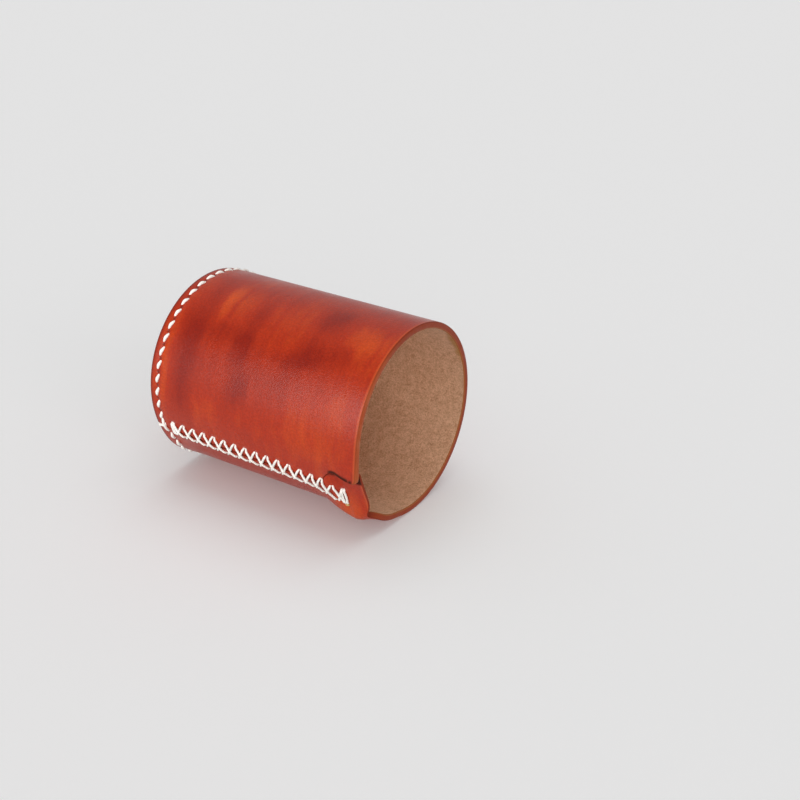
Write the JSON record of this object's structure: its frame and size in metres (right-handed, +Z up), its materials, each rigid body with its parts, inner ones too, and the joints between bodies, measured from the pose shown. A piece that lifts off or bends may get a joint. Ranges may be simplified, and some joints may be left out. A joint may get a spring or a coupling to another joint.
{
  "type": "pen holder",
  "caption": "Round rolled-leather pen cup: one thick sheet closed by a cross-laced ridge seam with a tucked tongue at the mouth, and a round base saddle-stitched into its lower end.",
  "frame": {"origin": "on the desk surface, under the middle of the whole cup with its stitches and lacing", "axes": "+Z up along the cup's axis towards its mouth; the laced seam is at the front, towards -Y; +X to the right of the seam, the side whose tongue folds over and tucks in"},
  "size_m": [0.0914, 0.0941, 0.1145],
  "materials": {
    "polished_leather": "polished vegetable-tanned leather, mottled rust red outside, tan suede flesh side inside",
    "base_leather": "polished vegetable-tanned leather, tan suede flesh side up inside the cup",
    "cream_thread": "waxed cream thread, satin"
  },
  "bodies": {
    "root": {"wall_sheet": "polished_leather", "base_disc": "base_leather", "seam_lacing": "cream_thread", "base_stitching": "cream_thread"}
  },
  "joints": []
}
